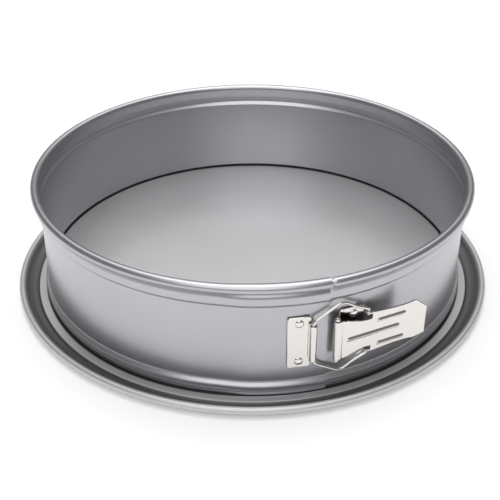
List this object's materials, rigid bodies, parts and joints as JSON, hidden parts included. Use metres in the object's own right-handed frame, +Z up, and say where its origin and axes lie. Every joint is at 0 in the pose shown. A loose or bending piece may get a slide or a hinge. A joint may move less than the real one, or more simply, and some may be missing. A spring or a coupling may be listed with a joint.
{
  "type": "springform pan",
  "caption": "Round springform cake pan: flat base plate with drip channel and rolled edge, lift-off spring-steel side band and over-centre latch.",
  "frame": {"origin": "centre of the base plate's underside, on the table", "axes": "+Z up along the pan's axis; -Y points out of the pan through the hinge pin of the latch; +X is to the right as one faces the latch"},
  "size_m": [0.3002, 0.3002, 0.0744],
  "materials": {
    "coated_base": "satin non-stick coating on steel sheet",
    "coated_band": "satin non-stick coating on spring-steel strip",
    "plated_steel": "bright nickel plate on pressed steel",
    "rivet_steel": "bright plated rivets and pin",
    "bail_wire": "bright drawn wire"
  },
  "bodies": {
    "base": {"base_plate": "coated_base"},
    "ring": {"band_back": "coated_band"},
    "ring_left": {"band_left": "coated_band", "keeper_plate": "plated_steel", "keeper_rivet_upper": "rivet_steel", "keeper_rivet_lower": "rivet_steel"},
    "ring_right": {"band_right": "coated_band", "hinge_bracket": "plated_steel", "bracket_rivet_upper": "rivet_steel", "bracket_rivet_lower": "rivet_steel", "hinge_pin": "rivet_steel"},
    "lever": {"lever": "plated_steel"},
    "bail": {"bail": "bail_wire"}
  },
  "joints": [
    {"name": "ring_lift", "type": "slide", "parent": "base", "child": "ring", "axis": [0, 0, 1], "range_m": [0, 0.09]},
    {"name": "ring_left_flex", "type": "hinge", "parent": "ring", "child": "ring_left", "pos_m": [-0.1325, 0, 0.037], "axis": [0, 0, -1], "range_deg": [0, 3.65]},
    {"name": "ring_right_flex", "type": "hinge", "parent": "ring", "child": "ring_right", "pos_m": [0.1325, 0, 0.037], "axis": [0, 0, 1], "range_deg": [0, 3.65]},
    {"name": "lever_swing", "type": "hinge", "parent": "ring_right", "child": "lever", "pos_m": [0, -0.1358, 0.0363], "axis": [0, 0, -1], "range_deg": [0, 120]},
    {"name": "bail_swing", "type": "hinge", "parent": "ring_left", "child": "bail", "pos_m": [-0.01293, -0.13428, 0.0363], "axis": [0, 0, -1], "range_deg": [0, 37.2]}
  ],
  "couplings": [
    {"joint": "ring_left_flex", "follows": "lever_swing", "ratio": 0.03016},
    {"joint": "ring_right_flex", "follows": "lever_swing", "ratio": 0.03016},
    {"joint": "bail_swing", "follows": "lever_swing", "ratio": 0.30852}
  ]
}
